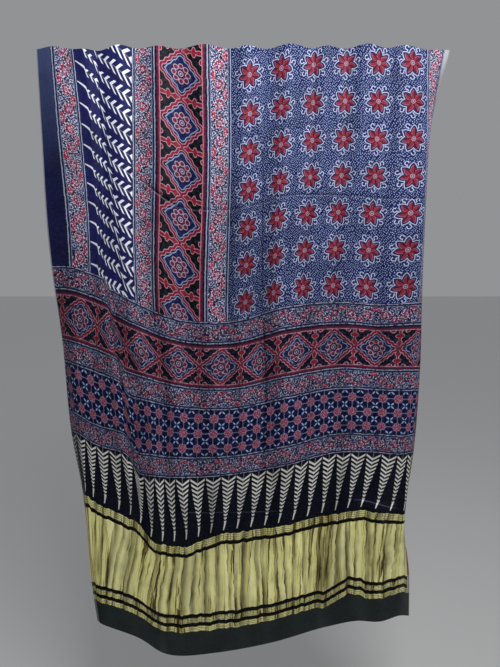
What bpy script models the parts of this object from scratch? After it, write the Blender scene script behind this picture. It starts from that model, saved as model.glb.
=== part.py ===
"""Ajrakh cloth: one printed silk length, hung from its level upper edge.

The cloth is a rectangle of woven silk. Two coordinates run on it: across, from its left selvedge
to its right one, and along, down its length, counted from the line where the field of stars ends
and the cross borders begin. The origin is the middle of the upper edge, +Z is up, and the printed
side faces -Y.
"""
import bpy
import numpy as np

# The woven bands side by side, from the left selvedge.
NAVY_STRIP = 0.036
GUARD = 0.058
SPIKE_STRIP = 0.176
DIAMOND_STRIP = 0.116
STAR_PITCH = 0.082
STAR_COLUMNS = 6
RIGHT_MARGIN = 0.020
CLOTH_WIDTH = (NAVY_STRIP + 4 * GUARD + SPIKE_STRIP + DIAMOND_STRIP
               + STAR_COLUMNS * STAR_PITCH + RIGHT_MARGIN)

# The cross borders, one under the other, from the end of the field.
DIAMOND_ROW = 0.159
FLOWER_ROWS = 0.217
SPIKE_ROW = 0.160
GOLD_BAND = 0.206
LOWER_BANDS = 0.118
FIELD_LENGTH = 0.594

DIAMONDS_END = DIAMOND_ROW
FLOWERS_END = DIAMONDS_END + FLOWER_ROWS
SPIKES_END = FLOWERS_END + SPIKE_ROW
GOLD_END = SPIKES_END + GOLD_BAND
LOWER_EDGE = GOLD_END + LOWER_BANDS
UPPER_EDGE = -FIELD_LENGTH
UPPER_FIELD = -0.382

THICKNESS = 0.0015
GRID_COLUMNS = 60
GRID_ROWS = 34

# The levels that the two tables below give, from the upper edge to the lower one.
LEVELS = (UPPER_EDGE, UPPER_FIELD, 0.0, DIAMONDS_END, FLOWERS_END, SPIKES_END, GOLD_END, LOWER_EDGE)

# Where each lengthwise line hangs, sideways from the middle of the upper edge.
# across, then at: upper edge, upper field, field end, diamonds end, flowers end, spikes end,
# gold end, lower edge
SIDEWAYS = (
    (0.000, -0.445, -0.445, -0.440, -0.425, -0.415, -0.395, -0.385, -0.375),
    (0.036, -0.415, -0.410, -0.400, -0.405, -0.400, -0.390, -0.380, -0.370),
    (0.094, -0.365, -0.355, -0.350, -0.360, -0.365, -0.365, -0.370, -0.365),
    (0.182, -0.305, -0.305, -0.305, -0.300, -0.300, -0.295, -0.330, -0.330),
    (0.270, -0.240, -0.245, -0.250, -0.240, -0.240, -0.240, -0.270, -0.270),
    (0.386, -0.135, -0.135, -0.150, -0.145, -0.165, -0.155, -0.175, -0.175),
    (0.502, -0.025, -0.025, -0.035, -0.035, -0.055, -0.065, -0.070, -0.070),
    (0.666, 0.115, 0.115, 0.100, 0.105, 0.095, 0.075, 0.075, 0.075),
    (0.830, 0.255, 0.255, 0.240, 0.245, 0.235, 0.220, 0.215, 0.215),
    (0.912, 0.325, 0.330, 0.320, 0.325, 0.310, 0.285, 0.285, 0.285),
    (0.994, 0.395, 0.405, 0.405, 0.400, 0.385, 0.360, 0.350, 0.355),
    (1.036, 0.425, 0.420, 0.415, 0.415, 0.405, 0.395, 0.395, 0.395),
    (1.072, 0.445, 0.420, 0.415, 0.415, 0.410, 0.395, 0.415, 0.420),
)

# How far each lengthwise line has dropped below the upper edge, but for the slanting crease.
# across, then at: field end, diamonds end, flowers end, spikes end, gold end, lower edge
DROPS = (
    (0.000, 0.465, 0.630, 0.860, 1.015, 1.255, 1.360),
    (0.036, 0.465, 0.635, 0.865, 1.020, 1.255, 1.365),
    (0.094, 0.480, 0.650, 0.890, 1.040, 1.265, 1.370),
    (0.182, 0.500, 0.675, 0.910, 1.075, 1.275, 1.385),
    (0.270, 0.530, 0.695, 0.915, 1.095, 1.295, 1.405),
    (0.386, 0.570, 0.720, 0.920, 1.095, 1.305, 1.420),
    (0.502, 0.575, 0.725, 0.915, 1.070, 1.295, 1.410),
    (0.666, 0.540, 0.695, 0.890, 1.050, 1.270, 1.380),
    (0.830, 0.530, 0.675, 0.855, 1.015, 1.225, 1.335),
    (0.912, 0.535, 0.680, 0.855, 1.005, 1.210, 1.320),
    (0.994, 0.530, 0.680, 0.860, 1.015, 1.210, 1.320),
    (1.036, 0.530, 0.680, 0.855, 1.015, 1.195, 1.305),
    (1.072, 0.530, 0.680, 0.855, 1.015, 1.195, 1.305),
)

# The slanting crease, right of which every crosswise thread lies a step lower.
# along, across, step down, half width of the step
CREASE = (
    (UPPER_EDGE, 0.150, 0.000, 0.012),
    (-0.250, 0.150, 0.004, 0.012),
    (0.0, 0.158, 0.017, 0.008),
    (DIAMONDS_END, 0.195, 0.026, 0.012),
    (FLOWERS_END, 0.226, 0.058, 0.021),
    (SPIKES_END, 0.262, 0.056, 0.032),
    (GOLD_END, 0.300, 0.044, 0.040),
    (LOWER_EDGE, 0.310, 0.042, 0.042),
)
CREASE_RIDGE = 0.006
CREASE_DEPTH_PER_STEP = 0.16
CREASE_LIP = 0.025
CREASE_LIP_WIDTH = 0.030
CREASE_FIRST_LINE = 9
CREASE_LEAST_REACH = 0.012

# The long soft folds, which drift sideways as they fall.
# across at: upper edge, field end, lower edge; half width; height at: upper edge, field end,
# lower edge
FOLDS = (
    (0.045, 0.050, 0.040, 0.034, 0.016, 0.018, 0.020),
    (0.235, 0.250, 0.365, 0.040, 0.022, 0.026, 0.024),
    (0.335, 0.352, 0.480, 0.032, 0.018, 0.020, 0.012),
    (0.440, 0.455, 0.560, 0.040, 0.024, 0.026, 0.028),
    (0.540, 0.532, 0.640, 0.030, 0.020, 0.026, 0.022),
    (0.650, 0.645, 0.730, 0.042, 0.026, 0.030, 0.028),
    (0.745, 0.740, 0.790, 0.030, 0.018, 0.018, 0.026),
    (0.845, 0.835, 0.910, 0.038, 0.026, 0.022, 0.034),
    (0.940, 0.930, 0.985, 0.034, 0.020, 0.024, 0.020),
)
FOLDS_MEAN_HEIGHT = 0.013

# The left edge rolls back lower down, and the right margin turns back below the upper edge.
# along, depth of the roll
LEFT_ROLL = ((UPPER_EDGE, 0.0), (0.0, 0.0), (DIAMONDS_END, 0.010), (FLOWERS_END, 0.018),
             (SPIKES_END, 0.022), (LOWER_EDGE, 0.024))
LEFT_ROLL_WIDTH = 0.070
RIGHT_TURN = ((UPPER_EDGE, 0.0), (-0.520, 0.016), (-0.420, 0.026), (LOWER_EDGE, 0.026))
RIGHT_TURN_WIDTH = 0.042
ROLL_POWER = 1.4

# Cloth that stands forward is drawn in towards this drop by its depth over the reach, but its
# upper edge stays level.
DRAW_IN_DROP = 0.493
DRAW_IN_REACH = 0.996
DRAW_IN_START = 0.060

SILK_COLOUR = (0.035, 0.045, 0.130, 1.0)
SILK_ROUGHNESS = 0.45


def flow(knots, values, at):
    """A smooth curve through values at the knots, along the last axis: a cubic on each stretch
    between two knots, whose slope at a knot is that of its neighbours. Where values and at both
    have rows, each row of places is read from its own row of values."""
    knots = np.asarray(knots, float)
    values = np.asarray(values, float)
    slope = np.gradient(values, knots, axis=-1)
    first = np.clip(np.searchsorted(knots, at, side="right") - 1, 0, len(knots) - 2)
    span = knots[first + 1] - knots[first]
    part = (at - knots[first]) / span

    def pick(table, where):
        if table.ndim == 2 and where.ndim == 2:
            return np.take_along_axis(table, where, axis=-1)
        return table[..., where]

    start = (1 + 2 * part) * (1 - part) ** 2 * pick(values, first)
    start_slope = part * (1 - part) ** 2 * span * pick(slope, first)
    end = part ** 2 * (3 - 2 * part) * pick(values, first + 1)
    end_slope = part ** 2 * (part - 1) * span * pick(slope, first + 1)
    return start + start_slope + end + end_slope


def column(table, number):
    """One column of a table, as an array."""
    return np.array([row[number] for row in table])


def bump(distance, half_width):
    """A round hill of height one: e to the minus square of the distance over the half width."""
    return np.exp(-(distance / half_width) ** 2)


def crease_at(along):
    """The crease's place across, its step down and its half width at each level, as columns."""
    levels = column(CREASE, 0)
    return [flow(levels, column(CREASE, number), along)[:, None] for number in (1, 2, 3)]


def grid_lines(along):
    """The places across of the grid's lengthwise lines, a row for each level: even on both sides
    of the crease, with three lines on its step, so that they follow it down."""
    place, _, half_width = crease_at(along)
    reach = np.maximum(half_width, CREASE_LEAST_REACH)
    number = np.arange(GRID_COLUMNS + 1)
    left = number / CREASE_FIRST_LINE * (place - reach)
    step = place + (number - CREASE_FIRST_LINE - 1) * reach
    lines_right = GRID_COLUMNS - CREASE_FIRST_LINE - 2
    share = (number - CREASE_FIRST_LINE - 2) / lines_right
    right = place + reach + share * (CLOTH_WIDTH - place - reach)
    across = np.where(number < CREASE_FIRST_LINE, left, step)
    return np.where(number > CREASE_FIRST_LINE + 2, right, across)


def height(across, along):
    """How far the cloth stands forward: the hills of the long folds, a lip and a hollow on either
    side of the crease, less the roll of the left edge and the turn of the right margin."""
    fold_levels = (UPPER_EDGE, 0.0, LOWER_EDGE)
    forward = np.full(across.shape, -FOLDS_MEAN_HEIGHT)
    for fold in FOLDS:
        place = flow(fold_levels, fold[0:3], along)[:, None]
        tall = flow(fold_levels, fold[4:7], along)[:, None]
        forward += tall * bump(across - place, fold[3])

    place, step, _ = crease_at(along)
    relief = CREASE_RIDGE + CREASE_DEPTH_PER_STEP * step
    forward += relief * bump(across - place + CREASE_LIP, CREASE_LIP_WIDTH)
    forward -= relief * bump(across - place - CREASE_LIP, CREASE_LIP_WIDTH)

    left = np.interp(along, column(LEFT_ROLL, 0), column(LEFT_ROLL, 1))[:, None]
    forward -= left * np.clip(1 - across / LEFT_ROLL_WIDTH, 0, 1) ** ROLL_POWER
    right = np.interp(along, column(RIGHT_TURN, 0), column(RIGHT_TURN, 1))[:, None]
    from_turn = 1 - (CLOTH_WIDTH - across) / RIGHT_TURN_WIDTH
    forward -= right * np.clip(from_turn, 0, 1) ** ROLL_POWER
    return forward


def hang(across, along):
    """Where the cloth hangs, for the places across of each level along. Both tables are read
    first down their columns and then across their rows, the crease's step is added as a smooth
    step, and what stands forward is drawn in a little."""
    lines = column(SIDEWAYS, 0)
    placed = [row[1:] for row in SIDEWAYS]
    sideways = flow(lines, flow(LEVELS, placed, along).T, across)

    upper_share = (UPPER_FIELD - UPPER_EDGE) / FIELD_LENGTH
    dropped = [(0.0, upper_share * row[1]) + row[1:] for row in DROPS]
    drop = flow(lines, flow(LEVELS, dropped, along).T, across)

    place, step, half_width = crease_at(along)
    drop += step * 0.5 * (1 + np.tanh((across - place) / half_width))

    forward = height(across, along)
    share = forward / DRAW_IN_REACH
    sideways -= sideways * share
    drop += (DRAW_IN_DROP - drop) * share * np.clip(drop / DRAW_IN_START, 0, 1)
    return sideways, -forward, -drop


def silk_material():
    """Dyed silk with a soft gloss."""
    material = bpy.data.materials.new("silk")
    material.use_nodes = True
    shader = material.node_tree.nodes["Principled BSDF"]
    shader.inputs["Base Color"].default_value = SILK_COLOUR
    shader.inputs["Roughness"].default_value = SILK_ROUGHNESS
    shader.inputs["Metallic"].default_value = 0.0
    return material


def make_cloth(collection):
    """The cloth: a flat grid laid into its folds, then given its thickness."""
    bpy.ops.mesh.primitive_grid_add(x_subdivisions=GRID_COLUMNS, y_subdivisions=GRID_ROWS, size=1.0)
    cloth = bpy.context.object
    cloth.name = "cloth"
    cloth.data.name = "cloth"
    along = np.linspace(LOWER_EDGE, UPPER_EDGE, GRID_ROWS + 1)
    places = np.stack(hang(grid_lines(along), along), axis=-1)
    cloth.data.vertices.foreach_set("co", places.ravel())
    cloth.data.update()
    cloth.data.materials.append(silk_material())
    cloth.data.shade_smooth()

    wall = cloth.modifiers.new("thickness", "SOLIDIFY")
    wall.thickness = THICKNESS
    wall.offset = 0.0

    for owner in list(cloth.users_collection):
        owner.objects.unlink(cloth)
    collection.objects.link(cloth)


def main():
    for thing in list(bpy.data.objects):
        bpy.data.objects.remove(thing, do_unlink=True)
    collection = bpy.data.collections.new("ajrakh cloth")
    bpy.context.scene.collection.children.link(collection)
    make_cloth(collection)


main()
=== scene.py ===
from functools import partialmethod

import bpy
import numpy as np
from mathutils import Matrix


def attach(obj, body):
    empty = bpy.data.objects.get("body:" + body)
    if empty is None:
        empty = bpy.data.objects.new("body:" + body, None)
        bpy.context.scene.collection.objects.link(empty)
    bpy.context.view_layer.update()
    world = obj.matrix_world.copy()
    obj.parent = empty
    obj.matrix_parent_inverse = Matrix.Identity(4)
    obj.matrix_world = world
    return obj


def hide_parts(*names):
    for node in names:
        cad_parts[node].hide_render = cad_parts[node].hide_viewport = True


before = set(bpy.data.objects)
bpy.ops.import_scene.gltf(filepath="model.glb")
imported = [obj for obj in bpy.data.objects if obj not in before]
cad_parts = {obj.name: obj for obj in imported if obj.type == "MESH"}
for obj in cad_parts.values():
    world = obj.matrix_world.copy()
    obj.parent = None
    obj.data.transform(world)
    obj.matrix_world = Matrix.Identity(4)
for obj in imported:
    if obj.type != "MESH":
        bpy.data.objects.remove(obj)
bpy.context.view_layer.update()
scene = bpy.context.scene

# The hung silk
# One length of thin silk, 1.07 m wide from selvedge to selvedge and 1.475 m long, hangs from its
# upper edge, which is cut on a slant to the weave. It falls in long soft folds that drift as they
# fall, and a slanting crease from storage runs down its left part.

# Sizes are in metres, and inside metres() in millimetres. Across is counted from the left
# selvedge, and along down the silk from the line where the field of stars ends.
SILK_WIDTH = 1.072
SILK_THICKNESS = 0.0008
BAND_EDGES_ACROSS = (0.0, 0.036, 0.094, 0.270, 0.328, 0.444, 0.502, 0.994, 1.052, SILK_WIDTH)
UPPER_EDGE = -0.594
UPPER_FIELD = -0.382
DIAMONDS_END = 0.159
FLOWERS_END = 0.376
GOLD_FIRST = 0.526
SPIKES_END = 0.536
GOLD_END = 0.742
LOWER_EDGE = 0.860
BAND_EDGES_ALONG = (UPPER_EDGE, 0.0, 0.055, DIAMONDS_END, 0.214, 0.324, FLOWERS_END, GOLD_FIRST,
                    LOWER_EDGE)
LEVELS = (UPPER_EDGE, UPPER_FIELD, 0.0, DIAMONDS_END, FLOWERS_END, SPIKES_END, GOLD_END, LOWER_EDGE)
GRID_PITCH_ACROSS = 0.0043
GRID_PITCH_ALONG = 0.0078


def metres(table):
    """A table given in millimetres, in metres."""
    return np.array(table) / 1000


# Where each lengthwise line hangs, sideways from the middle of the upper edge.
# across, then at: upper edge, upper field, field end, diamonds end, flowers end, spikes end,
# gold end, lower edge
SIDEWAYS = metres((
    (0, -445, -445, -440, -425, -415, -395, -385, -375),
    (36, -415, -410, -400, -405, -400, -390, -380, -370),
    (94, -365, -355, -350, -360, -365, -365, -370, -365),
    (182, -305, -305, -305, -300, -300, -295, -330, -330),
    (270, -240, -245, -250, -240, -240, -240, -270, -270),
    (386, -135, -135, -150, -145, -165, -155, -175, -175),
    (502, -25, -25, -35, -35, -55, -65, -70, -70),
    (666, 115, 115, 100, 105, 95, 75, 75, 75),
    (830, 255, 255, 240, 245, 235, 220, 215, 215),
    (912, 325, 330, 320, 325, 310, 285, 285, 285),
    (994, 395, 405, 405, 400, 385, 360, 350, 355),
    (1036, 425, 411, 412, 415, 405, 395, 395, 395),
    (1072, 445, 407, 411, 415, 410, 395, 415, 420),
))

# How far each lengthwise line has dropped below the upper edge, but for the slanting crease.
# across, then at: field end, diamonds end, flowers end, spikes end, gold end, lower edge
DROPS = metres((
    (0, 465, 630, 860, 1015, 1255, 1360),
    (36, 465, 635, 865, 1020, 1255, 1365),
    (94, 480, 650, 890, 1040, 1265, 1370),
    (182, 500, 675, 910, 1075, 1275, 1385),
    (270, 530, 695, 915, 1095, 1295, 1405),
    (386, 570, 720, 920, 1095, 1305, 1420),
    (502, 575, 725, 915, 1070, 1295, 1410),
    (666, 540, 695, 890, 1050, 1270, 1380),
    (830, 530, 675, 855, 1015, 1225, 1335),
    (912, 535, 680, 855, 1005, 1210, 1320),
    (994, 530, 680, 860, 1015, 1210, 1320),
    (1036, 530, 680, 855, 1015, 1195, 1305),
    (1072, 530, 680, 855, 1015, 1195, 1305),
))

# The silk's own length from the upper edge to the field's end, which a fold takes up unevenly.
# across, length
FIELD_SILK = metres((
    (0, 466), (36, 470), (94, 482), (182, 530), (270, 583), (328, 588), (386, 592), (444, 595),
    (502, 593), (584, 579), (666, 568), (748, 562), (1072, 561),
))

# The slanting crease, right of which every crosswise thread lies a step lower.
# along, across, step down, half width of the step
CREASE = (
    (UPPER_EDGE, 0.150, 0.000, 0.012),
    (-0.250, 0.150, 0.004, 0.012),
    (0.0, 0.158, 0.017, 0.008),
    (DIAMONDS_END, 0.195, 0.026, 0.012),
    (FLOWERS_END, 0.226, 0.058, 0.021),
    (SPIKES_END, 0.262, 0.056, 0.032),
    (GOLD_END, 0.300, 0.044, 0.040),
    (LOWER_EDGE, 0.310, 0.042, 0.042),
)
CREASE_RIDGE = 0.006
CREASE_DEPTH_PER_STEP = 0.16
CREASE_LIP = 0.025
CREASE_LIP_WIDTH = 0.030

# The long soft folds.
# across at: upper edge, field end, lower edge; half width; height at: upper edge, field end,
# lower edge
FOLDS = metres((
    (45, 50, 40, 34, 16, 18, 20), (235, 250, 365, 40, 22, 26, 24), (335, 352, 480, 32, 18, 20, 12),
    (440, 455, 560, 40, 24, 26, 28), (540, 532, 640, 30, 20, 26, 22),
    (650, 645, 730, 42, 26, 30, 28), (745, 740, 790, 30, 18, 18, 26),
    (845, 835, 910, 38, 26, 22, 34), (940, 930, 985, 34, 20, 24, 20),
))
FOLDS_MEAN_HEIGHT = 0.013

# The crinkles of the metal-woven band, which run down it.
# across at the band's first and last line, half width, depth
CRINKLES = metres((
    (22, 12, 6, 3), (48, 30, 7, 4), (92, 66, 7, 6), (118, 104, 6, 4), (152, 144, 7, 6),
    (180, 172, 6, 4), (214, 218, 10, 5), (238, 226, 6, 4), (268, 269, 6, 6), (302, 298, 7, 4),
    (336, 330, 6, 4), (362, 358, 9, 6), (392, 398, 6, 4), (430, 424, 7, 5), (462, 468, 6, 3),
    (496, 500, 8, 5), (530, 540, 6, 4), (549, 554, 6, 8), (577, 566, 10, 7), (611, 620, 6, 5),
    (626, 638, 9, 6), (664, 680, 6, 3), (690, 706, 6, 4), (718, 721, 6, 8), (742, 756, 7, 4),
    (763, 772, 6, 4), (788, 794, 9, 7), (813, 816, 12, 7), (846, 842, 6, 4), (872, 880, 7, 5),
    (905, 900, 6, 4), (934, 940, 8, 6), (962, 958, 6, 4), (990, 996, 7, 6), (1018, 1012, 6, 4),
    (1044, 1050, 6, 4),
))
CRINKLES_FIRST = 0.536
CRINKLES_LAST = 0.800
CRINKLES_ABOVE = 0.010
CRINKLES_FADE = 0.030

# How far a crinkle wanders sideways and how much its depth swells, and for both the waves, in
# radians for each metre down it and for each metre that it stands from the left.
CRINKLE_WANDER = 0.003
WANDER_WAVES = (47.0, 90.0)
CRINKLE_SWELL = 0.25
SWELL_WAVES = (31.0, 160.0)

# The left edge rolls back lower down, and the right margin turns back below the upper edge.
# along, depth of the roll
LEFT_ROLL = ((UPPER_EDGE, 0.0), (0.0, 0.0), (DIAMONDS_END, 0.010), (FLOWERS_END, 0.018),
             (SPIKES_END, 0.022), (LOWER_EDGE, 0.024))
LEFT_ROLL_WIDTH = 0.070
RIGHT_TURN = ((UPPER_EDGE, 0.0), (-0.520, 0.016), (-0.420, 0.026), (LOWER_EDGE, 0.026))
RIGHT_TURN_WIDTH = 0.042
ROLL_POWER = 1.4

# Cloth that stands forward is drawn in towards this drop by its depth over the reach, but its
# upper edge stays level.
DRAW_IN_DROP = 0.493
DRAW_IN_REACH = 0.996
DRAW_IN_START = 0.060

# Painted shade and painted light, scaled into the dye's colour: where the silk lies darker in a
# hollow, or lighter on a ridge, along straight lines. Two wide ones make the upper left part
# lighter and the lower end of the field darker.
# across and along at one end, and at the other; half width; how dark, or how light if negative.
# All but the last are in millimetres.
PAINTED_SHADES = (
    (205, -590, 212, -10, 22, -0.65), (212, -10, 236, 200, 18, -0.35),
    (236, 200, 262, 330, 18, -0.35), (262, 330, 285, 520, 16, -0.35), (165, 20, 200, 210, 9, 0.45),
    (200, 210, 232, 380, 10, 0.45), (262, 120, 304, 400, 11, 0.30), (135, -330, 155, -20, 20, 0.30),
    (66, -300, 76, -20, 16, 0.15), (15, 400, 20, 560, 22, 0.50), (340, 80, 352, 500, 10, 0.22),
    (476, 420, 488, 560, 12, 0.30), (300, -286, 372, -256, 9, 0.40),
    (520, -160, 650, -130, 30, 0.12), (60, 50, 80, 360, 75, 0.24), (598, 60, 612, 360, 7, 0.30),
    (530, -260, 560, 0, 50, 0.20), (905, 505, 1000, 515, 10, -0.80), (124, 575, 100, 700, 9, 0.40),
    (166, 575, 158, 720, 9, 0.35), (206, 575, 214, 700, 10, 0.35), (366, 575, 362, 700, 8, 0.30),
    (402, 575, 408, 730, 11, 0.46), (426, 575, 436, 730, 7, 0.40), (462, 575, 470, 730, 12, 0.55),
    (578, 575, 572, 640, 8, 0.45), (612, 575, 622, 660, 10, 0.40), (804, 600, 808, 730, 14, 0.50),
    (852, 570, 856, 740, 7, 0.45), (880, 600, 884, 740, 8, 0.45), (955, 600, 952, 690, 5, 0.45),
    (540, 650, 750, 650, 90, -0.15), (120, -590, 480, -590, 220, -0.14),
    (300, -40, 960, -40, 110, 0.06),
)


def flow(knots, values, at):
    """A smooth curve through values at the knots, along the last axis: a cubic on each stretch
    between two knots, whose slope at a knot is that of its neighbours. Where values and at both
    have rows, each row of places is read from its own row of values."""
    knots = np.asarray(knots, float)
    values = np.asarray(values, float)
    slope = np.gradient(values, knots, axis=-1)
    first = np.clip(np.searchsorted(knots, at, side="right") - 1, 0, len(knots) - 2)
    span = knots[first + 1] - knots[first]
    part = (at - knots[first]) / span

    def pick(table, where):
        """The table's values at these knots."""
        if table.ndim == 2 and where.ndim == 2:
            return np.take_along_axis(table, where, axis=-1)
        return table[..., where]

    start = (1 + 2 * part) * (1 - part) ** 2 * pick(values, first)
    start_slope = part * (1 - part) ** 2 * span * pick(slope, first)
    end = part ** 2 * (3 - 2 * part) * pick(values, first + 1)
    end_slope = part ** 2 * (part - 1) * span * pick(slope, first + 1)
    return start + start_slope + end + end_slope


def bump(distance, half_width):
    """A round hill of height one: e to the minus square of the distance over the half width."""
    return np.exp(-(distance / half_width) ** 2)


def crease_at(along):
    """The crease's place across, its step down and its half width at each level, as columns."""
    levels, *parts = np.transpose(CREASE)
    return [flow(levels, part, along)[:, None] for part in parts]


def height(across, along):
    """How far the silk stands forward: the hills of the long folds, a lip and a hollow on either
    side of the crease, less the roll of the left edge and the turn of the right margin."""
    fold_levels = (UPPER_EDGE, 0.0, LOWER_EDGE)
    forward = np.full(across.shape, -FOLDS_MEAN_HEIGHT)
    for fold in FOLDS:
        place = flow(fold_levels, fold[0:3], along)[:, None]
        tall = flow(fold_levels, fold[4:7], along)[:, None]
        forward += tall * bump(across - place, fold[3])

    place, step, _ = crease_at(along)
    relief = CREASE_RIDGE + CREASE_DEPTH_PER_STEP * step
    forward += relief * bump(across - place + CREASE_LIP, CREASE_LIP_WIDTH)
    forward -= relief * bump(across - place - CREASE_LIP, CREASE_LIP_WIDTH)

    left = np.interp(along, *np.transpose(LEFT_ROLL))[:, None]
    forward -= left * np.clip(1 - across / LEFT_ROLL_WIDTH, 0, 1) ** ROLL_POWER
    right = np.interp(along, *np.transpose(RIGHT_TURN))[:, None]
    from_turn = 1 - (SILK_WIDTH - across) / RIGHT_TURN_WIDTH
    forward -= right * np.clip(from_turn, 0, 1) ** ROLL_POWER
    return forward


def crinkle(across, along):
    """How far the crinkles push the silk back: the sum of their hills, each on a nearly straight
    line down the band, fading in and out at its ends."""
    down = (along - CRINKLES_FIRST) / (CRINKLES_LAST - CRINKLES_FIRST)
    inside = np.minimum(along - CRINKLES_FIRST + CRINKLES_ABOVE, CRINKLES_LAST - along)
    inside = np.clip(inside / CRINKLES_FADE, 0, 1)[:, None]
    depth = np.zeros(across.shape)
    for first, last, half_width, deep in CRINKLES:
        wander = CRINKLE_WANDER * np.sin(along * WANDER_WAVES[0] + first * WANDER_WAVES[1])
        place = (first + (last - first) * down + wander)[:, None]
        wave = np.sin(along * SWELL_WAVES[0] + first * SWELL_WAVES[1])
        swell = (1 - CRINKLE_SWELL + CRINKLE_SWELL * wave)[:, None]
        depth += deep * swell * bump(across - place, half_width)
    return depth * inside


def shading(across, along):
    """How dark the painted shade makes the silk, or how light where it is negative: the sum of the
    painted shades, each falling off beside its line.
    """
    dark = np.zeros(across.shape)
    for *sizes, depth in PAINTED_SHADES:
        start_x, start_y, end_x, end_y, half_width = metres(sizes)
        run = np.hypot(end_x - start_x, end_y - start_y)
        ahead = ((end_x - start_x) / run, (end_y - start_y) / run)
        passed = (across - start_x) * ahead[0] + (along - start_y) * ahead[1]
        passed = np.clip(passed, 0, run)
        beside = np.hypot(across - start_x - passed * ahead[0], along - start_y - passed * ahead[1])
        dark += depth * bump(beside, half_width)
    return dark


def hang(across, along):
    """Where the silk hangs, for the places across of each level along. Both tables are read
    first down their columns and then across their rows, the crease's step is added as a smooth
    step, and what stands forward is drawn in a little."""
    lines = SIDEWAYS[:, 0]
    sideways = flow(lines, flow(LEVELS, SIDEWAYS[:, 1:], along).T, across)

    upper_share = (UPPER_FIELD - UPPER_EDGE) / -UPPER_EDGE
    dropped = [(0.0, upper_share * row[1], *row[1:]) for row in DROPS]
    drop = flow(lines, flow(LEVELS, dropped, along).T, across)

    place, step, half_width = crease_at(along)
    drop += step * 0.5 * (1 + np.tanh((across - place) / half_width))

    forward = height(across, along) - crinkle(across, along)
    share = forward / DRAW_IN_REACH
    sideways -= sideways * share
    drop += (DRAW_IN_DROP - drop) * share * np.clip(drop / DRAW_IN_START, 0, 1)
    return sideways, -forward, -drop


def lines_between(edges, pitch):
    """Grid lines at every edge, and evenly between two edges, no further apart than the pitch."""
    lines = [np.array(edges[:1])]
    for start, end in zip(edges, edges[1:]):
        steps = int(np.ceil((end - start) / pitch))
        lines.append(start + (end - start) * np.arange(1, steps + 1) / steps)
    return np.concatenate(lines)


def in_scene(name, data):
    """A new object of this name, linked to the scene."""
    thing = bpy.data.objects.new(name, data)
    scene.collection.objects.link(thing)
    return thing


across_lines = lines_between(BAND_EDGES_ACROSS, GRID_PITCH_ACROSS)
along_lines = lines_between(BAND_EDGES_ALONG, GRID_PITCH_ALONG)
across_grid = np.tile(across_lines, (len(along_lines), 1))

# The printed face and the reverse are the same grid, pushed half the thickness either way.
middle = np.stack(hang(across_grid, along_lines), axis=-1)
outwards = np.cross(np.gradient(middle, axis=0), np.gradient(middle, axis=1))
outwards /= np.linalg.norm(outwards, axis=-1, keepdims=True)
face = (middle + outwards * SILK_THICKNESS / 2).reshape(-1, 3)
reverse = (middle - outwards * SILK_THICKNESS / 2).reshape(-1, 3)

number = np.arange(across_grid.size).reshape(across_grid.shape)
corners = [number[:-1, :-1], number[1:, :-1], number[1:, 1:], number[:-1, 1:]]
face_quads = np.stack(corners, axis=-1).reshape(-1, 4)
reverse_quads = face_quads[:, ::-1] + number.size
border = np.concatenate([number[:-1, 0], number[-1, :-1], number[:0:-1, -1], number[0, :0:-1]])
after = np.roll(border, -1)
rim_quads = np.stack([border, border + number.size, after + number.size, after], axis=-1)

silk_mesh = bpy.data.meshes.new("silk_length")
all_quads = np.concatenate([face_quads, reverse_quads, rim_quads])
silk_mesh.from_pydata(np.concatenate([face, reverse]).tolist(), [], all_quads.tolist())
silk_mesh.shade_smooth()
on_border = np.zeros(2 * number.size, bool)
on_border[border] = True
on_border[border + number.size] = True
edge_ends = np.zeros(2 * len(silk_mesh.edges), int)
silk_mesh.edges.foreach_get("vertices", edge_ends)
silk_mesh.edges.foreach_set("use_edge_sharp", on_border[edge_ends].reshape(-1, 2).all(axis=1))

# Each point carries its place on the flat silk as a UV map, which side it is on, and its painted
# shade: how dark it is painted, or how light.
field_length = np.interp(across_lines, *FIELD_SILK.T)
stretch = np.where(along_lines[:, None] < 0, field_length / -UPPER_EDGE, 1.0)
along_grid = along_lines[:, None] * stretch
flat_places = np.tile(np.stack([across_grid, along_grid], axis=-1).reshape(-1, 2), (2, 1))
corner_points = np.zeros(len(silk_mesh.loops), int)
silk_mesh.loops.foreach_get("vertex_index", corner_points)
flat_map = silk_mesh.uv_layers.new(name="flat")
flat_map.data.foreach_set("uv", flat_places[corner_points].ravel())
side = silk_mesh.attributes.new("reverse", "FLOAT", "POINT")
side.data.foreach_set("value", np.repeat([0.0, 1.0], number.size))
shade = silk_mesh.attributes.new("shade", "FLOAT", "POINT")
shade.data.foreach_set("value", np.tile(shading(across_grid, along_grid).ravel(), 2))

silk_length = in_scene("silk_length", silk_mesh)

# The middle of each face on the flat silk, and the number of the material that it gets.
quad_places = flat_places[all_quads].mean(axis=1)
quad_bands = np.zeros(len(all_quads), int)

# The dyes and the cloth
# The silk is printed by hand with carved blocks: indigo, madder red and black, with the undyed
# silk left as pale lines. No two prints of a block are quite alike, so the lines waver.

# Inks are given as the screen shows them, and the sizes of the print in millimetres.
FULL_WIDTH = (0, 1072)
FIELD_SPAN = (-700, 0)
WAVER = 1.4
WAVER_SCALE = 55.0
FRAY_SCALE = 240.0
SOFT_EDGE = 0.7
THICK_DYE = (10, 10, 18)
THIN_DYE = (200, 204, 220)
REVERSE_HAZE = (96, 100, 128)
LEFT_SELVEDGE = (150, 152, 160)
LEFT_SELVEDGE_WIDTH = 2.4
RIGHT_SELVEDGE = (142, 136, 112)
RIGHT_SELVEDGE_WIDTH = 2.6
THREAD_PITCH = 0.6
THREAD_RELIEF = 0.02
CRUMPLE_RELIEF = 1.2

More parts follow.
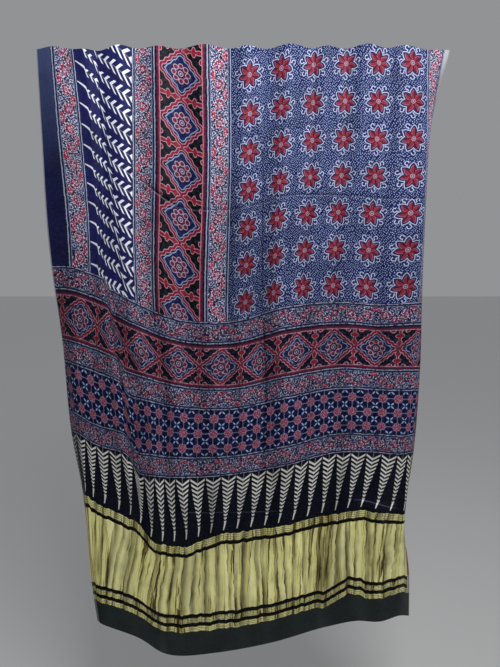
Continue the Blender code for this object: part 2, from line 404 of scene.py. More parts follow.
# The sharp creases that storage left.
# across and along at one end, then at the other; depth
STORAGE_CREASES = (
    (600, -252, 760, -240, 1.4), (740, -241, 1040, -229, 1.2), (366, -250, 640, -246, 1.1),
    (292, -286, 380, -248, 3.0), (230, -300, 300, -284, 1.2), (578, -380, 596, -29, 1.3),
    (596, -40, 612, 403, 1.6), (388, 452, 540, 477, 0.8), (530, 475, 680, 490, 0.8),
    (884, 500, 1014, 516, 1.2), (884, 470, 888, 640, 1.0), (330, 90, 348, 250, 1.0),
    (712, -560, 716, -420, 0.9), (846, -300, 838, -60, 0.8),
)
CREASE_FADE = 25.0
# Painted shade along each storage crease, and painted highlight below those that run across.
CREASE_SHADE = (8, 8, 20)
CREASE_HIGHLIGHT = (150, 154, 186)


def dye(screen):
    """A dye's colour from its screen values, 0 to 255: each over 255, plus 0.055, over 1.055, to
    the power 2.4, which is the light that the screen gives."""
    light = ((np.array(screen) / 255 + 0.055) / 1.055) ** 2.4
    return (*light.tolist(), 1.0)


class Amount:
    """A number that the shader works out at every point of the silk. Each sum or product of
    amounts, and each function below, adds the Math node that does the same."""

    def __init__(self, tree, socket):
        self.tree = tree
        self.socket = socket

    def put(self, operation, *others, clamp=False):
        """The Math node of this operation, fed with this amount and the others."""
        node = self.tree.nodes.new("ShaderNodeMath")
        node.operation = operation
        node.use_clamp = clamp
        for place, amount in zip(node.inputs, (self,) + others):
            if isinstance(amount, Amount):
                self.tree.links.new(amount.socket, place)
            else:
                place.default_value = amount
        return Amount(self.tree, node.outputs[0])

    __add__ = partialmethod(put, "ADD")
    __sub__ = partialmethod(put, "SUBTRACT")
    __mul__ = partialmethod(put, "MULTIPLY")
    __truediv__ = partialmethod(put, "DIVIDE")
    __neg__ = partialmethod(put, "MULTIPLY", -1.0)
    __abs__ = partialmethod(put, "ABSOLUTE")
    least = partialmethod(put, "MINIMUM")
    most = partialmethod(put, "MAXIMUM")

    def limited(self, times=1.0):
        """This amount times a number, kept between nothing and one."""
        return self.put("MULTIPLY", times, clamp=True)


def reach(x, y):
    """The distance from the point where x and y are both nothing."""
    return (x * x + y * y).put("SQRT")


def repeat(place, pitch, first=0.0):
    """The distance past the nearest of a row of marks: one at first, and one at every pitch."""
    return (place - first).put("WRAP", pitch / 2, -pitch / 2)


def cover(distance, soft=SOFT_EDGE):
    """How far an ink covers a point: one inside its outline and nothing outside, sloping over the
    soft edge."""
    return distance.put("MULTIPLY_ADD", -1.0 / soft, 0.5, clamp=True)


def line(distance, width):
    """How far a drawn line of this width covers a point at that distance from its middle."""
    return cover(abs(distance) - width / 2)


def dot(x, y, radius):
    """How far a round dot covers a point at x and y from its middle."""
    return cover(reach(x, y) - radius)


def petal(x, y, middle, half_length, half_width):
    """The distance outside a pointed petal that lies along x: where two equal circles overlap."""
    shift = (half_length ** 2 - half_width ** 2) / (2 * half_width)
    return reach(x - middle, abs(y) + shift) - (shift + half_width)


def folded_round(x, y, count, turn):
    """The same corner of a flower for each of its count petals: outwards along the nearest petal
    and sideways from it, with the first petal turned this many degrees from x."""
    step = 2 * np.pi / count
    angle = repeat(y.put("ARCTAN2", x), step, np.radians(turn))
    radius = reach(x, y)
    return radius * angle.put("COSINE"), radius * angle.put("SINE")


class Band:
    """One printed band of the silk: its material, its limits (left, right, upper and lower), and
    at each of its points the places across and along the flat silk, wavering a little as a hand
    print does."""

    def __init__(self, name, ground, limits, waver=WAVER, ragged=0.6):
        self.material = bpy.data.materials.new(name)
        self.material.use_nodes = True
        self.tree = self.material.node_tree
        self.shader = self.tree.nodes["Principled BSDF"]
        self.colour = ground
        self.limits = limits
        places = self.node("ShaderNodeUVMap", uv_map="flat").outputs[0]
        self.flat_across, self.flat_along = (place * 1000.0 for place in self.split(places))
        slow = self.stray(places, WAVER_SCALE, waver)
        quick = self.stray(places, FRAY_SCALE, ragged)
        self.across = self.flat_across + (slow[0] + quick[0])
        self.along = self.flat_along + (slow[1] + quick[1])

    def node(self, kind, **settings):
        """A new shader node of this kind, with these settings."""
        node = self.tree.nodes.new(kind)
        for name, value in settings.items():
            setattr(node, name, value)
        return node

    def split(self, socket):
        """The first two parts of a place or a colour."""
        node = self.node("ShaderNodeSeparateXYZ")
        self.tree.links.new(socket, node.inputs[0])
        return [Amount(self.tree, output) for output in node.outputs[:2]]

    def stray(self, places, scale, size):
        """How far a print strays across and along: noise from minus to plus this size."""
        noise = self.node("ShaderNodeTexNoise")
        noise.inputs["Scale"].default_value = scale
        noise.inputs["Detail"].default_value = 1.0
        self.tree.links.new(places, noise.inputs["Vector"])
        return [(part - 0.5) * (2 * size) for part in self.split(noise.outputs["Color"])]

    def texture(self, kind, x, y, **settings):
        """A texture node of this kind, read at x and y in its own size."""
        joined = self.node("ShaderNodeCombineXYZ")
        self.tree.links.new(x.socket, joined.inputs[0])
        self.tree.links.new(y.socket, joined.inputs[1])
        node = self.node(kind, **settings)
        node.inputs["Scale"].default_value = 1.0
        self.tree.links.new(joined.outputs[0], node.inputs["Vector"])
        return node

    def strewn(self, x, y, pitch, stray):
        """The distance to the nearest of many dots, about one to every pitch both ways, which
        stray from their rows as far as stray says, 0 to 1."""
        cells = self.texture("ShaderNodeTexVoronoi", x / pitch, y / pitch, voronoi_dimensions="2D")
        cells.inputs["Randomness"].default_value = stray
        return Amount(self.tree, cells.outputs["Distance"]) * pitch

    def facets(self, x, y, wide, long):
        """Crumpled facets of about this width and length: how far a point lies to the right of
        its facet's middle, as a share of the width, plus an amount from -0.5 to 0.5 that differs
        from one facet to the next."""
        cells = self.texture("ShaderNodeTexVoronoi", x / wide, y / long, voronoi_dimensions="2D")
        middle, _ = self.split(cells.outputs["Position"])
        turned, _ = self.split(cells.outputs["Color"])
        return x / wide - middle + turned - 0.5

    def grain(self, wide, long, detail=2.0):
        """Cloudy noise from 0 to 1, with clouds of about this width and length."""
        noise = self.texture("ShaderNodeTexNoise", self.flat_across / wide, self.flat_along / long)
        noise.inputs["Detail"].default_value = detail
        return Amount(self.tree, noise.outputs[0])

    def ink(self, screen, amount):
        """Lays one ink over what is printed so far, as far as the amount says."""
        node = self.node("ShaderNodeMix", data_type="RGBA")
        share, under, over = node.inputs[0], node.inputs[6], node.inputs[7]
        self.tree.links.new(amount.socket, share)
        if isinstance(self.colour, tuple):
            under.default_value = dye(self.colour)
        else:
            self.tree.links.new(self.colour, under)
        over.default_value = dye(screen)
        self.colour = node.outputs[2]

    def nest(self, distance, *rings):
        """Inks one outline after another inside it: for each its ink, and how far it reaches
        outside the line where the distance is nothing."""
        for screen, outside in rings:
            self.ink(screen, cover(distance - outside))

    def even(self, amount):
        """The same amount everywhere."""
        value = self.node("ShaderNodeValue")
        value.outputs[0].default_value = amount
        return Amount(self.tree, value.outputs[0])

    def carried(self, name):
        """An amount that the mesh carries at its points."""
        return Amount(self.tree, self.node("ShaderNodeAttribute", attribute_name=name).outputs["Fac"])

    def beside_line(self, start, end):
        """The distance to the straight line from start to end, and an amount that is one along it
        and fades out at both ends."""
        run = np.hypot(end[0] - start[0], end[1] - start[1])
        ahead = ((end[0] - start[0]) / run, (end[1] - start[1]) / run)
        x = self.across - float(start[0])
        y = self.along - float(start[1])
        passed = x * ahead[0] + y * ahead[1]
        fade = (passed / CREASE_FADE).least(1.0).least((passed - run) * (-1 / CREASE_FADE))
        return x * ahead[1] - y * ahead[0], fade.most(0.0)

    def fold(self, left, right, upper, lower):
        """The storage creases that reach this part of the silk: a thin line of painted shade and a
        trough for each, and a line of painted highlight below those that run across. Gives back the
        depth of the troughs."""
        depth = self.even(0.0)
        for *ends, deep in STORAGE_CREASES:
            start, end = ends[:2], ends[2:]
            apart = min(start[0], end[0]) > right or max(start[0], end[0]) < left
            if apart or min(start[1], end[1]) > lower or max(start[1], end[1]) < upper:
                continue
            beside, fade = self.beside_line(start, end)
            # Painted shade along the crease, and painted highlight below one that runs across.
            self.ink(CREASE_SHADE, cover(abs(beside) - 0.8, 3.0) * fade * min(0.55 * deep, 0.85))
            if abs(end[0] - start[0]) > abs(end[1] - start[1]):
                self.ink(CREASE_HIGHLIGHT, cover(abs(beside + 3.4) - 0.6, 2.6) * fade * (0.2 * deep))
            depth = depth + cover(abs(beside) - 2.0, 6.0) * fade * deep
        return depth

    def finish(self, roughness=0.5, shine=0.07, relief=0.0, speckle=0.15):
        """The finish of the dyed silk: the dye lies unevenly, the selvedges are undyed, the reverse
        is paler, fine threads cross each other, small creases run down the silk, the storage creases
        get their painted shade and highlight, and the colour is scaled by the painted shade and light
        that the mesh carries. Its material goes on the faces whose middles lie inside the band's
        limits."""
        left, right, upper, lower = self.limits
        self.ink(THICK_DYE, (self.grain(90.0, 60.0) - 0.45) * 0.9)
        self.ink(THIN_DYE, (self.grain(7.0, 7.0) - 0.45) * speckle)
        self.ink(REVERSE_HAZE, self.carried("reverse") * 0.35)
        if left == FULL_WIDTH[0]:
            self.ink(LEFT_SELVEDGE, cover(self.flat_across - LEFT_SELVEDGE_WIDTH) * 0.7)
        if right == FULL_WIDTH[1]:
            from_right = -self.flat_across + float(right)
            self.ink(RIGHT_SELVEDGE, cover(from_right - RIGHT_SELVEDGE_WIDTH) * 0.7)
        threads = (self.flat_across * (2 * np.pi / THREAD_PITCH)).put("SINE")
        threads = threads * (self.flat_along * (2 * np.pi / THREAD_PITCH)).put("SINE")
        surface = threads * THREAD_RELIEF + self.grain(9.0, 40.0, 3.0) * CRUMPLE_RELIEF
        surface = surface - self.fold(*self.limits)
        if relief:
            surface = surface + relief

        # Painted shade and painted light: the colour is scaled by one less the painted shade that the
        # mesh carries.
        lit = self.node("ShaderNodeVectorMath", operation="SCALE")
        self.tree.links.new(self.colour, lit.inputs[0])
        self.tree.links.new((-self.carried("shade") + 1.0).socket, lit.inputs["Scale"])
        self.tree.links.new(lit.outputs[0], self.shader.inputs["Base Color"])
        bump_node = self.node("ShaderNodeBump")
        bump_node.inputs["Strength"].default_value = 1.0
        bump_node.inputs["Distance"].default_value = 0.001
        self.tree.links.new(surface.socket, bump_node.inputs["Height"])
        self.tree.links.new(bump_node.outputs[0], self.shader.inputs["Normal"])
        self.shader.inputs["Roughness"].default_value = roughness
        self.shader.inputs["Specular IOR Level"].default_value = shine

        silk_mesh.materials.append(self.material)
        inside = (quad_places[:, 0] > left / 1000) & (quad_places[:, 0] < right / 1000)
        inside &= (quad_places[:, 1] > upper / 1000) & (quad_places[:, 1] < lower / 1000)
        quad_bands[inside] = len(silk_mesh.materials) - 1


# The indigo strip
# Down the left selvedge runs a plain strip, dyed twice in indigo and not printed. It is paler
# towards its upper end.
PLAIN_INDIGO = (22, 26, 66)
PALER_INDIGO = (78, 92, 134)
WORN_EDGE = (120, 124, 140)

plain_strip = Band("indigo strip", PLAIN_INDIGO, (0, 36, *FIELD_SPAN))
plain_strip.ink(PALER_INDIGO, (-plain_strip.along - 200.0).limited(1 / 400.0))
plain_strip.ink(WORN_EDGE, cover(plain_strip.across - 1.2))
plain_strip.finish(speckle=0.05)

# The guard borders
# Narrow borders of round madder flowers frame every other band. Between two flowers a red bud
# stands on one side and a grey leaf on the other, in turn, on indigo that is thick with dots.
GUARD_FLOWERS = 41.0
GUARD_HALF_WIDTH = 29
LEAF_OUT = 14.0
GUARD_INDIGO = (18, 22, 62)
CROSS_GUARD_INDIGO = (14, 18, 66)
CROSS_GUARD_WEAR = (16, 12, 52)
DEEP_INDIGO = (10, 12, 40)
PALE = (196, 198, 212)
PALE_BLUE = (122, 138, 180)
SLATE = (46, 54, 96)
PINK = (180, 112, 126)
BUD_MADDER = (164, 54, 80)
FLOWER_MADDER = (142, 54, 90)
DARK_MADDER = (88, 16, 32)
FLOWER_LINE = (206, 164, 178)
FLOWER_HEART = (190, 150, 168)
GUARD_DOTS = (206, 218, 242)
RED_SPOTS = (132, 36, 66)
PALE_SPECKS = (210, 216, 240)
DARK_SPECKS = (10, 12, 34)
GUARD_EDGE = (164, 166, 190)


def print_guard(band, run, side):
    """A guard border: run is the distance along it and side the distance from its middle."""
    turn = repeat(run, 2 * GUARD_FLOWERS).put("SIGN")
    between = run.put("PINGPONG", GUARD_FLOWERS) - GUARD_FLOWERS / 2
    turned = side * turn
    patches = (band.grain(11.0, 11.0, 1.0) * 3.4 - 1.1).limited()
    band.ink(GUARD_DOTS, cover(band.strewn(run, side, pitch=5.0, stray=0.8) - 1.5) * patches)

    leaf = petal(turned - LEAF_OUT, between, middle=0.0, half_length=11.0, half_width=7.5)
    band.nest(leaf, (DEEP_INDIGO, 2.8), (PALE_BLUE, 1.4), (SLATE, 0.0))
    curl = reach(turned - LEAF_OUT, between) - 3.4
    band.ink(DEEP_INDIGO, cover(curl))
    band.ink(PALE, line(curl, 1.2))

    bud = petal(between, turned + 14.5, middle=0.0, half_length=10.5, half_width=6.0)
    band.nest(bud, (DEEP_INDIGO, 2.4), (PINK, 1.1), (BUD_MADDER, 0.0))
    band.ink(DARK_MADDER, dot(between, turned + 18.0, 2.4))

    outwards, sideways = folded_round(repeat(run, GUARD_FLOWERS), side, 8, 0.0)
    radius = reach(outwards, sideways)
    flower = petal(outwards, sideways, middle=6.0, half_length=5.4, half_width=4.2)
    flower = flower.least(radius - 7.6)
    band.nest(flower, (DEEP_INDIGO, 2.6), (FLOWER_LINE, 1.3), (FLOWER_MADDER, 0.0))
    band.ink(DARK_MADDER, dot(outwards - 7.4, abs(sideways) - 2.9, 1.5))
    band.ink(FLOWER_HEART, cover(radius - 4.2))
    band.ink(DARK_MADDER, line(radius - 2.2, 1.1))

    band.ink(RED_SPOTS, cover(band.strewn(run + 80.0, side, pitch=9.5, stray=1.0) - 2.0) * 0.55)
    band.ink(PALE_SPECKS, cover(band.strewn(run, side, pitch=5.4, stray=1.0) - 1.2) * 0.9)
    band.ink(DARK_SPECKS, cover(band.strewn(run + 40.0, side, pitch=4.6, stray=1.0) - 1.0) * 0.9)

    edge = abs(side)
    band.ink(PALE_BLUE, line(edge - 20.4, 1.5))
    band.ink(DEEP_INDIGO, cover(-edge + 21.2))
    band.ink(SLATE, dot(repeat(run, 4.2), edge - 23.0, 0.9))
    band.ink(GUARD_EDGE, line(edge - 26.3, 2.4))


# name, middle line, how far the flowers are shifted
for name, centre, shift in (("first guard", 65.0, 20.0), ("second guard", 299.0, 4.5),
                            ("third guard", 473.0, 65.0), ("right guard", 1023.0, 30.0)):
    limits = (centre - GUARD_HALF_WIDTH, centre + GUARD_HALF_WIDTH, *FIELD_SPAN)
    guard = Band(name, GUARD_INDIGO, limits, ragged=1.1)
    print_guard(guard, guard.along + shift, guard.across - centre)
    guard.finish()

# name, upper and lower edge, how far the flowers are shifted
for name, upper, lower, shift in (("upper cross guard", 0, 55, 22.0),
                                  ("middle cross guard", 159, 214, 28.0),
                                  ("lower cross guard", 324, 376, 20.0)):
    guard = Band(name, CROSS_GUARD_INDIGO, (*FULL_WIDTH, upper, lower), ragged=1.1)
    widened = 2 * GUARD_HALF_WIDTH / (lower - upper)
    print_guard(guard, guard.across + shift, (guard.along - (upper + lower) / 2) * widened)
    guard.ink(CROSS_GUARD_WEAR, (guard.grain(6.0, 6.0, 1.0) * 5.0 - 2.1).limited(0.74))
    guard.finish()

# The spikes
# Long spikes are built from rows of chevrons on a thin stem and end in a bare point. They are
# resist printed, so they stay the pale colour of the silk.
SPIKE_SOFT_EDGE = 1.2
SPIKE_STRIP_INDIGO = (26, 30, 84)
SPIKE_ROW_BLACK = (9, 11, 26)
SPIKE_STEM = (140, 142, 156)
BARE_SILK = (236, 240, 250)
CREAM_SILK = (222, 221, 214)


def print_spikes(band, sideways, deep, pitch, spans, chevron, stroke, slope, tail, colour):
    """A row of spikes, one at every pitch: sideways is the distance along the row, and deep the
    distance from the heads towards the points. A chevron is a line of constant deep plus slope
    times the distance from the stem, as wide as the stroke. The chevrons are kept inside a span
    that narrows down the spike, and they stand closer by the squeeze times the square of deep.
    Spans are the half width at the head, the least half width, and how deep that is reached.
    Chevron is how deep the first one lies, the step to the next, the last, and the squeeze. Tail
    is where the bare point starts and ends, how it leans, and its width."""
    x = repeat(sideways, pitch)
    wide, narrow, narrow_at = spans
    first, step, last, squeeze = chevron
    span = (deep * ((narrow - wide) / narrow_at) + wide).most(narrow)
    level = deep + abs(x) * slope
    level = level + level * level * squeeze
    arms = abs(repeat(level, step, first + first * first * squeeze)) - stroke / 2
    arms = arms.most(abs(x) - span).most(-(level - first) - stroke / 2).most(deep - last)
    stem = (abs(x) - 1.0).most(deep - last).most(-deep - 4.0)
    band.ink(SPIKE_STEM, cover(stem, SPIKE_SOFT_EDGE) * 0.7)
    band.ink(colour, cover(arms, SPIKE_SOFT_EDGE))
    tail_start, tail_end, tail_lean, tail_width = tail
    beyond = deep - tail_start
    narrowing = beyond * (tail_width * 0.35 / (tail_end - tail_start))
    point = abs(x + beyond * tail_lean) - tail_width / 2 + narrowing
    band.ink(colour, cover(point.most(-beyond).most(deep - tail_end), SPIKE_SOFT_EDGE))


# In the strip the spikes lie across the silk, and step along it at two lengthwise lines.
spike_strip = Band("spike strip", SPIKE_STRIP_INDIGO, (94, 270, *FIELD_SPAN), waver=0.8, ragged=0.3)
lean = ((spike_strip.across - 123.0) / 2.5).put("TANH") * 4.6
lean = lean + ((spike_strip.across - spike_strip.along * 0.15 - 237.0) / 8.0).put("TANH") * 12.2
print_spikes(spike_strip, spike_strip.along - lean + 43.4, -spike_strip.across + 266.0, pitch=44.0,
             spans=(18.0, 8.6, 125.0), chevron=(0.0, 20.2, 142.0, 0.0009), stroke=7.4, slope=0.95,
             tail=(142.0, 171.0, 0.03, 6.5), colour=BARE_SILK)
spike_strip.finish(speckle=0.08)

spike_row = Band("spike row", SPIKE_ROW_BLACK, (*FULL_WIDTH, 376, 526), waver=0.8, ragged=0.3)
print_spikes(spike_row, spike_row.across - 8.6, spike_row.along - 376.0, pitch=39.5,
             spans=(18.6, 3.2, 122.0), chevron=(17.0, 11.6, 134.0, 0.0010), stroke=5.4, slope=0.66,
             tail=(130.0, 158.0, 0.15, 4.8), colour=CREAM_SILK)
spike_row.finish(speckle=0.05)

# The diamonds
# Madder bars cross in a lattice of diamonds. Each diamond holds a rosette of eight round petals on
# indigo, and the black corners beside the crossings hold a small madder tree.
DIAMOND_STRIP_BLACK = (12, 12, 20)
DIAMOND_ROW_BLACK = (13, 10, 30)
DIAMOND_ROW_WEAR = (14, 8, 34)
DIAMOND_DARK = (42, 20, 48)
DIAMOND_INDIGO = (18, 24, 72)
DIAMOND_LINE = (134, 150, 192)
ROSETTE_LINE = (182, 164, 190)
ROSETTE_MADDER = (104, 28, 50)
ROSETTE_DISC = (78, 28, 54)
ROSETTE_HEART = (40, 30, 60)
TREE_LINE = (190, 150, 166)
TREE_MADDER = (138, 24, 42)
BAR_MADDER = (128, 22, 50)
FRAME_MADDER = (130, 32, 56)
FRAME_DARK = (74, 24, 52)


def print_diamonds(band, run, side, pitch, half_width, bar_width, frame_gap, wave, outline):
    """The diamond lattice: run is the distance along it from a crossing, side the distance from
    its middle line, pitch the distance between crossings, half_width that to the border's frame,
    frame_gap that from a bar's middle to the pale outline inside it, wave the length and height of
    the bars' waves, and outline the width of the pale outlines."""
    half_pitch = pitch / 2
    off = abs(side)
    past = run.put("PINGPONG", half_pitch)
    length = np.hypot(half_pitch, half_width)
    to_bar = off * (half_pitch / length) - past * (half_width / length)
    along_bar = off * (half_width / length) + past * (half_pitch / length)
    saw = (along_bar * (2 * np.pi / wave[0])).put("SINE") * wave[1]

    x = repeat(run, pitch, half_pitch)
    notch = reach(off - half_width / 2, past - half_pitch / 2) - 8.0
    wedge = (to_bar + frame_gap).most(-notch)
    wedge = wedge - (along_bar * (2 * np.pi / 18.0)).put("COSINE") * 1.1 + saw * 0.6
    band.ink(DIAMOND_DARK, cover(to_bar))
    band.ink(DIAMOND_INDIGO, cover(wedge))
    band.ink(DIAMOND_LINE, line(wedge, outline * 1.6))
    band.ink(DEEP_INDIGO, line(wedge - 2.4, 1.6))

    outwards, sideways = folded_round(x, side, 8, 0.0)
    petals = reach(outwards - 16.4, sideways) - 4.7
    band.nest(petals, (DEEP_INDIGO, outline + 1.2), (ROSETTE_LINE, outline), (ROSETTE_MADDER, 0.0))
    band.nest(reach(x, side), (ROSETTE_DISC, 10.4), (ROSETTE_LINE, 6.0), (ROSETTE_HEART, 4.4),
              (ROSETTE_LINE, 2.0))

    stalk = past - 2.2 - cover(-off + 40.0, 9.0) * 1.6
    tree = stalk.least(reach((off - 30.0) * 1.9, past) - 9.0).least(reach(off - 14.0, past) - 5.0)
    tree = tree.least(reach(off - half_width, past - 16.0) - 4.6) + saw * 0.6
    band.nest(tree.most(-to_bar), (TREE_LINE, outline), (TREE_MADDER, 0.0))

    bar = abs(to_bar + saw) - bar_width / 2
    band.nest(bar, (DEEP_INDIGO, outline + 1.3), (TREE_LINE, outline), (BAR_MADDER, 0.0))
    band.nest(-off + half_width, (TREE_LINE, 0.0), (FRAME_MADDER, -1.4), (FRAME_DARK, -4.4),
              (DEEP_INDIGO, -7.6))


diamond_strip = Band("diamond strip", DIAMOND_STRIP_BLACK, (328, 444, *FIELD_SPAN), waver=1.1)
from_middle = diamond_strip.across - 386.0
slanted = diamond_strip.along - from_middle * 0.28
print_diamonds(diamond_strip, slanted + 64.0, from_middle, pitch=105.0, half_width=48.0,
               bar_width=5.2, frame_gap=7.8, wave=(17.0, 1.3), outline=1.4)
diamond_strip.finish()

diamond_row = Band("diamond row", DIAMOND_ROW_BLACK, (*FULL_WIDTH, 55, 159), waver=1.1, ragged=0.8)
slanted = diamond_row.across + (diamond_row.along - 109.0) * 0.075
print_diamonds(diamond_row, slanted - 13.4, diamond_row.along - 108.5, pitch=104.0, half_width=43.0,
               bar_width=5.4, frame_gap=8.8, wave=(12.0, 0.9), outline=1.5)
diamond_row.ink(DIAMOND_ROW_WEAR, (diamond_row.grain(7.0, 7.0, 1.0) * 5.0 - 2.2).limited(0.7))
diamond_row.finish()

# The field of stars
# Seven-petalled madder stars stand in rows, 82 mm apart both ways, each inside a pale outline
# with a curled hook in every notch. The indigo between them is thick with small pale dots.
STAR_PITCH = 82.0
STAR_PETALS = 7
STAR_TURN = 88.0
FIELD_INDIGO = (19, 28, 78)
FIELD_DOTS = (158, 174, 214)
HOOK_INDIGO = (28, 34, 90)
HOOK_PALE = (190, 198, 224)
STAR_SURROUND = (28, 34, 84)
STAR_OUTLINE = (188, 198, 226)
STAR_GAP = (32, 32, 78)
STAR_LINE = (180, 118, 142)
STAR_MADDER = (140, 44, 62)
STAR_DARK = (86, 12, 28)
STAR_VEIN = (176, 84, 106)
# ink and radius, inwards
STAR_HEART = (((96, 34, 56), 6.8), ((182, 146, 166), 5.2), ((104, 74, 98), 3.7),
              ((182, 164, 184), 1.5))

field = Band("star field", FIELD_INDIGO, (502, 994, *FIELD_SPAN), ragged=0.5)
x = repeat(field.across, STAR_PITCH, 546.5)
y = -repeat(field.along, STAR_PITCH, -36.0)
drift = (field.grain(40.0, 40.0, 1.0) - 0.5) * 14.0
downhill = (field.across * 0.79 + field.along * 0.61 + drift) / 1.25
uphill = field.along * 0.79 - field.across * 0.61 + drift
field.ink(FIELD_DOTS, cover(field.strewn(downhill, uphill, pitch=4.1, stray=0.5) - 0.92))

hook_out, hook_beside = folded_round(x, y, STAR_PETALS, STAR_TURN + 180.0 / STAR_PETALS)
hook_x = hook_out - 31.4
hook = reach(hook_x, hook_beside)
field.ink(HOOK_INDIGO, cover(hook - 6.0))
gap = cover((hook_x + 0.8).most(hook_beside + 0.2))
field.ink(HOOK_PALE, (line(hook - 4.2, 1.7) - gap).limited())
field.ink(PALE, dot(hook_x - 0.2, hook_beside + 4.0, 1.4))
stem = (abs(hook_beside - 1.6) - 0.9).most(hook_x + 3.6).most(-hook_x - 12.0)
field.ink(HOOK_PALE, cover(stem))

out, beside = folded_round(x, y, STAR_PETALS, STAR_TURN)
radius = reach(x, y)
outline = petal(out, beside, middle=14.0, half_length=16.6, half_width=8.8).least(radius - 14.4)
field.nest(outline, (STAR_SURROUND, 1.8), (STAR_OUTLINE, 0.7), (STAR_GAP, -0.8))
star = petal(out, beside, middle=12.8, half_length=10.7, half_width=4.9).least(radius - 9.0)
field.nest(star, (STAR_LINE, 0.6), (STAR_MADDER, 0.0))
dark_half = petal(out, beside + 1.9, middle=14.2, half_length=8.8, half_width=3.4)
field.ink(STAR_DARK, cover(dark_half))
field.ink(STAR_VEIN, line(abs(beside + 0.2), 0.9) * cover(star + 1.0) * 0.7)
field.nest(radius, *STAR_HEART)
field.finish(speckle=0.08)

# The flower lattice
# Three rows of eight-petalled madder flowers stand on deep indigo, with a cross of four pale
# dashes between every four of them and thin stems from flower to flower.
LATTICE_PITCH = 37.6
LATTICE_ROWS = 36.0
LATTICE_FIRST = 21.0
LATTICE_MIDDLE = 269.0
LATTICE_INDIGO = (18, 24, 70)
CROSS_INDIGO = (8, 10, 46)
CROSS_BLUE = (158, 182, 224)
STEM_BLUE = (120, 130, 178)
LATTICE_LINE = (104, 96, 136)
LATTICE_MADDER = (126, 42, 64)
PINK_SPECKS = (196, 144, 162)
MADDER_SPECKS = (66, 20, 40)

lattice = Band("flower lattice", LATTICE_INDIGO, (*FULL_WIDTH, 214, 324), ragged=0.8)
slanted = lattice.across - (lattice.along - LATTICE_MIDDLE) * 0.055
x = repeat(slanted, LATTICE_PITCH, LATTICE_FIRST)
y = repeat(lattice.along, LATTICE_ROWS, LATTICE_MIDDLE)
cross_x = repeat(slanted, LATTICE_PITCH, LATTICE_FIRST + LATTICE_PITCH / 2)
cross_y = repeat(lattice.along, LATTICE_ROWS, LATTICE_MIDDLE + LATTICE_ROWS / 2)
discs = reach(abs(cross_x) - 13.2, cross_y * 0.8) - 5.4
discs = discs.least(reach(cross_x * 0.8, abs(cross_y) - 11.2) - 5.4)
lattice.ink(CROSS_INDIGO, cover(discs))
lattice.ink(STEM_BLUE, line(x, 1.7) * 0.8)
lattice.ink(STEM_BLUE, line(y, 1.7) * 0.8)
out, beside = folded_round(cross_x, cross_y, 4, 45.0)
dash = petal(out, beside, middle=6.4, half_length=4.6, half_width=1.6)
lattice.ink(CROSS_BLUE, cover(dash))
out, beside = folded_round(x, y, 8, 0.0)
flower = petal(out, beside, middle=5.4, half_length=4.6, half_width=3.0).least(reach(x, y) - 6.6)
lattice.nest(flower, (LATTICE_LINE, 1.6), (LATTICE_MADDER, 0.0))
specks = lattice.strewn(slanted, lattice.along, pitch=3.2, stray=1.0) - 0.95
lattice.ink(PINK_SPECKS, cover(specks) * cover(flower - 2.2))
specks = lattice.strewn(slanted + 20.0, lattice.along, pitch=4.0, stray=1.0) - 0.8
lattice.ink(MADDER_SPECKS, cover(specks) * cover(flower))
lattice.finish()

# The gold end
# Gold-coloured metal thread is woven into the last bands: a wide one between two narrow ones, set
# off by black lines. The metal keeps every crease, so the bands are crinkled all the way down, and
# a plain black end hangs below them.
END_BLACK = (42, 47, 48)
BAND_BLACK = (9, 11, 26)
GOLD = (250, 243, 158)
# Painted highlight, painted shade and painted shadow on the crumpled metal, and painted shade along
# its crinkles.
HIGHLIGHT_GOLD = (255, 252, 184)
SHADED_GOLD = (88, 74, 44)
CRINKLE_SHADE_GOLD = (44, 36, 20)
STRIPE_DARK = (34, 32, 20)
LINE_BLACK = (10, 11, 10)
RED_THREAD = (150, 24, 40)
GREY_THREAD = (170, 166, 158)
# upper and lower edges
NARROW_BANDS = ((536.0, 556.0), (749.0, 766.0), (775.0, 790.0))
BLACK_LINES = ((555.5, 565.0), (739.0, 750.0), (764.0, 775.0))

# Creases pucker the bands all along, tuck their lower part up on the right, and let their upper
# part sag left of the middle.
gold_end = Band("gold end", END_BLACK, (*FULL_WIDTH, 526, 900))
tuck = ((gold_end.across - 846.0) / 40.0).least((-gold_end.across + 940.0) / 54.0)
tuck = tuck.most(0.0) * 19.0 - (abs(gold_end.across - 812.0) * (-9.0 / 40.0) + 9.0).most(0.0)
pucker = (gold_end.grain(26.0, 400.0) - 0.5) * 16.0
lower_part = (gold_end.along - 640.0).limited(1 / 80.0)
sag = (abs(gold_end.across - 405.0) * (-8.0 / 100.0) + 8.0).most(0.0)
along = gold_end.along + pucker + tuck * lower_part - sag * (-lower_part + 1.0)
gold_end.ink(BAND_BLACK, cover(along - 540.0))
woven = cover(abs(along - 663.0) - 127.0)
gold_end.ink(GOLD, woven)

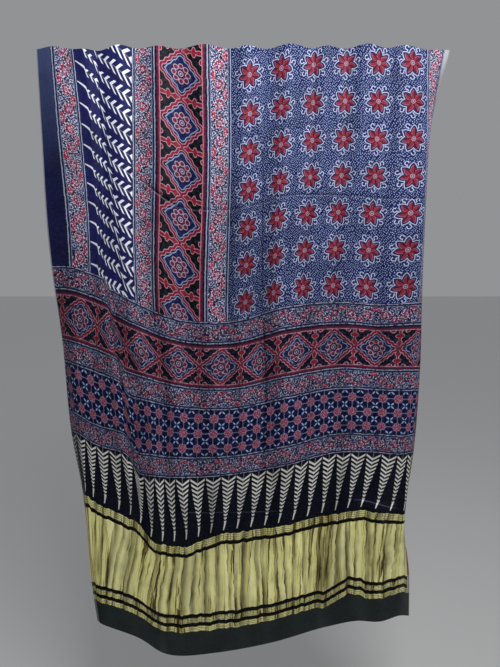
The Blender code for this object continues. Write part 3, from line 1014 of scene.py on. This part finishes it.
# The metal is crumpled into long facets, large and small, and painted highlight and painted shade
# on the facets stand for the light they take. Over them every crinkle is a line of painted shade
# with a painted shadow on one side.
bent = gold_end.across + (gold_end.grain(70.0, 45.0) - 0.5) * 15.0
down = gold_end.along - CRINKLES_FIRST * 1000
facet_shading = gold_end.facets(bent, down, wide=24.0, long=210.0) * 0.9
facet_shading = facet_shading + gold_end.facets(bent, down, wide=8.0, long=70.0) * 0.6
gold_end.ink(HIGHLIGHT_GOLD, woven * (facet_shading * -1.8 + 0.3).limited())
shadows = (facet_shading * 1.7 - 0.42).most(0.0)
sharp = gold_end.even(0.0)
deepest = CRINKLES[:, 3].max()
band_length = (CRINKLES_LAST - CRINKLES_FIRST) * 1000
for first, last, half_width, deep in CRINKLES * 1000:
    beside = bent - down * ((last - first) / band_length) - first
    strong = deep / (deepest * 1000)
    fading = (beside * (-0.40 / half_width) + 1.0).most(0.0)
    shadows = shadows.most(cover(-beside, 1.4) * fading * (0.40 + 0.60 * strong))
    sharp = sharp.most(cover(abs(beside) - 0.4 * strong, 1.8) * strong)
fine = gold_end.grain(9.0, 110.0)
shadows = (shadows * (fine * 3.0 - 0.50)).limited()
# Painted shadow beside each crinkle and on the facets, then painted shade along each crinkle's line.
gold_end.ink(SHADED_GOLD, woven * shadows)
gold_end.ink(CRINKLE_SHADE_GOLD, woven * sharp * (fine * 4.0 - 1.4).limited())

stripes = line(repeat(along, 4.7), 1.7) * 0.75
breaks = (gold_end.grain(3.5, 60.0, 1.0) * 12.0 - 7.0).limited(0.7)
for upper, lower in NARROW_BANDS:
    narrow = line(along - (upper + lower) / 2, lower - upper)
    gold_end.ink(STRIPE_DARK, narrow * stripes)
    gold_end.ink(STRIPE_DARK, narrow * breaks)
for upper, lower in BLACK_LINES:
    gold_end.ink(LINE_BLACK, line(along - (upper + lower) / 2, lower - upper))
edge = cover(-gold_end.flat_across + 1062.0)
gold_end.ink(RED_THREAD, edge * cover(abs(along - 690.0) - 46.0))
gold_end.ink(GREY_THREAD, edge * cover(abs(along - 762.0) - 26.0))
gold_end.finish(roughness=0.36, shine=0.06, relief=woven * (facet_shading * -1.2 - shadows * 1.5),
                speckle=0.05)
gold_end.shader.inputs["Metallic"].default_value = 0.12

# The pale margin
# The right selvedge is left undyed as a narrow margin.
UNDYED = (168, 168, 176)
margin = Band("pale margin", UNDYED, (1052, 1072, *FIELD_SPAN))
margin.finish()

silk_mesh.polygons.foreach_set("material_index", quad_bands)
silk_mesh.update()
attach(silk_length, "root")
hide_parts("cloth")

# The floor
# A plain pale floor lies well below the silk.
FLOOR_LEVEL = -1.80
FLOOR_REACH = 30.0
floor_mesh = bpy.data.meshes.new("floor")
floor_corners = [(x * FLOOR_REACH, y * FLOOR_REACH, FLOOR_LEVEL)
                 for x, y in ((-1, -1), (1, -1), (1, 1), (-1, 1))]
floor_mesh.from_pydata(floor_corners, [], [(0, 1, 2, 3)])
floor = in_scene("floor", floor_mesh)
floor_paint = bpy.data.materials.new("floor")
floor_paint.use_nodes = True
floor_shader = floor_paint.node_tree.nodes["Principled BSDF"]
floor_shader.inputs["Base Color"].default_value = (0.78, 0.78, 0.77, 1.0)
floor_shader.inputs["Roughness"].default_value = 0.9
floor_mesh.materials.append(floor_paint)

# The light
# Soft daylight comes from all round, with more from a window above, in front and to the right.
world = bpy.data.worlds.new("daylight")
world.use_nodes = True
sky = world.node_tree.nodes["Background"].inputs
sky["Color"].default_value = (0.80, 0.81, 0.84, 1.0)
sky["Strength"].default_value = 0.36
scene.world = world
window = bpy.data.lights.new("window", "AREA")
window.shape = "RECTANGLE"
window.size = 0.9
window.size_y = 0.5
window.energy = 17.0
window_light = in_scene("window", window)
window_light.location = (0.42, -0.85, 0.42)
window_light.rotation_euler = (np.radians(52), 0.0, np.radians(22))

# The camera
# It stands a metre in front of the silk and a quarter of a metre above its middle, and looks
# slightly down.
lens = bpy.data.cameras.new("camera")
lens.lens = 23.21
lens.sensor_width = 36.0
lens.clip_start = 0.01
camera = in_scene("camera", lens)
camera.location = (0.015, -0.996, -0.493)
camera.rotation_euler = (np.radians(82.65), 0.0, 0.0)
scene.camera = camera
scene.view_settings.view_transform = "Standard"
